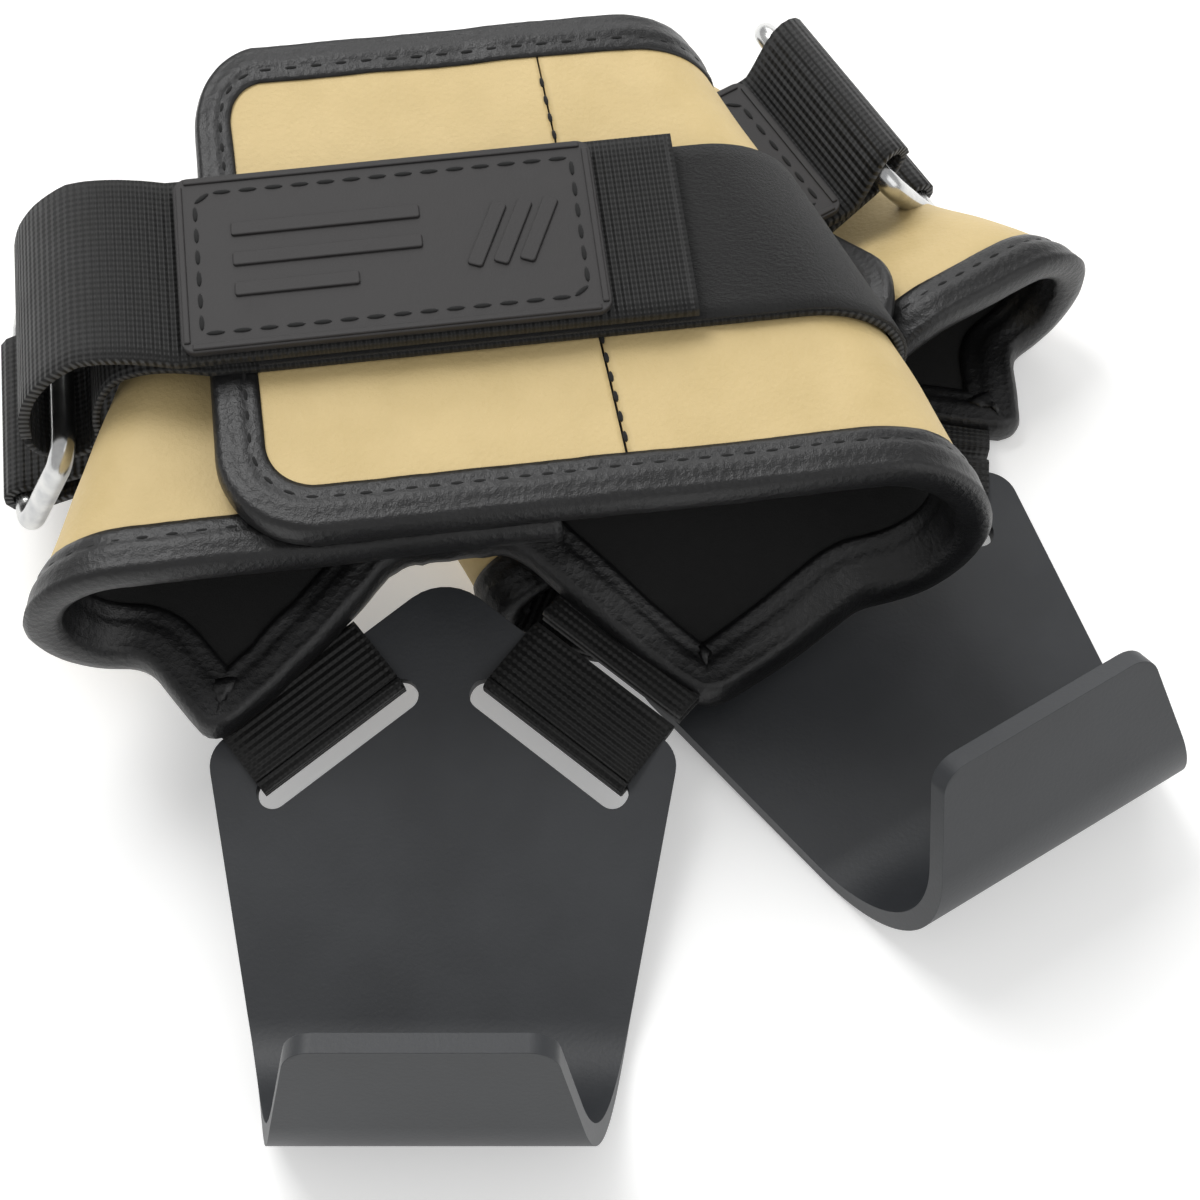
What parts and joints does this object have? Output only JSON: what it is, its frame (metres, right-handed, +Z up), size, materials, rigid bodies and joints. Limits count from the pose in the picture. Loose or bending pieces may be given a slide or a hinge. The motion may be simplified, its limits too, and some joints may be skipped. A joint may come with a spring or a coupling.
{
  "type": "weightlifting hook grips",
  "caption": "Padded wrist cuffs with overlapping flap, ring-and-strap closure and a pivoting steel bar hook on webbing, for pulling lifts",
  "frame": {"origin": "middle of the pair's footprint, on the surface they lie on", "axes": "+Z up, -Y the way the left grip's hook points, +X to the right seen from behind the cuffs"},
  "size_m": [0.174, 0.187, 0.0566],
  "materials": {
    "outer_leather": "light tan synthetic leather, fine grain",
    "binding_leather": "black folded leather",
    "foam": "closed-cell foam",
    "lining": "black neoprene-backed knit",
    "closure_tape": "hook-and-loop tape",
    "webbing": "black ribbed polypropylene webbing",
    "pile": "fuzzy loop layer",
    "label": "matte moulded rubber",
    "ring_wire": "bright zinc-plated wire",
    "hook_coating": "dark satin powder coat"
  },
  "bodies": {
    "right_cuff": {"right_palm_panel": "outer_leather", "right_flap_panel": "outer_leather", "right_foam_pad": "foam", "right_lining": "lining", "right_hand_edge_binding": "binding_leather", "right_wrist_edge_binding": "binding_leather", "right_notch_binding": "binding_leather", "right_flap_end_binding": "binding_leather", "right_closure_loop_patch": "closure_tape", "right_closure_hook_patch": "closure_tape", "right_strap_base": "webbing", "right_strap_pile": "pile", "right_strap_tail": "webbing", "right_tail_hook_tape": "closure_tape", "right_label_patch": "label", "right_ring_tab": "webbing", "right_webbing_anchors": "webbing"},
    "left_cuff": {"left_palm_panel": "outer_leather", "left_flap_panel": "outer_leather", "left_foam_pad": "foam", "left_lining": "lining", "left_hand_edge_binding": "binding_leather", "left_wrist_edge_binding": "binding_leather", "left_notch_binding": "binding_leather", "left_flap_end_binding": "binding_leather", "left_closure_loop_patch": "closure_tape", "left_closure_hook_patch": "closure_tape", "left_strap_base": "webbing", "left_strap_pile": "pile", "left_ring_tab": "webbing", "left_webbing_anchors": "webbing"},
    "left_hook": {"left_hook_plate": "hook_coating", "left_hook_webbing": "webbing"},
    "right_hook": {"right_hook_plate": "hook_coating", "right_hook_webbing": "webbing"},
    "left_ring": {"left_ring": "ring_wire"},
    "right_ring": {"right_ring": "ring_wire"},
    "left_tail": {"left_strap_tail": "webbing", "left_tail_hook_tape": "closure_tape", "left_label_patch": "label"}
  },
  "joints": [
    {"name": "left_lift_off", "type": "slide", "parent": "right_cuff", "child": "left_cuff", "axis": [0, 0, 1], "range_m": [0, 0.08]},
    {"name": "left_hook_tilt", "type": "hinge", "parent": "left_cuff", "child": "left_hook", "pos_m": [-0.01751, -0.02302, 0.0139], "axis": [1, 0, 0], "range_deg": [-30, 30]},
    {"name": "right_hook_tilt", "type": "hinge", "parent": "right_cuff", "child": "right_hook", "pos_m": [0.03209, 0.00731, 0.0042], "axis": [0.8499, 0.527, 0], "range_deg": [-18, 0]},
    {"name": "left_ring_swing", "type": "hinge", "parent": "left_cuff", "child": "left_ring", "pos_m": [-0.08169, 0.01761, 0.01497], "axis": [-0.1219, 0.9925, 0], "range_deg": [-4, 4]},
    {"name": "right_ring_swing", "type": "hinge", "parent": "right_cuff", "child": "right_ring", "pos_m": [0.04897, 0.07706, 0.00564], "axis": [-0.527, 0.8499, 0], "range_deg": [-4, 4]},
    {"name": "left_tail_peel", "type": "hinge", "parent": "left_cuff", "child": "left_tail", "pos_m": [-0.07905, 0.01793, 0.03355], "axis": [0.1219, -0.9925, 0], "range_deg": [0, 110]}
  ]
}
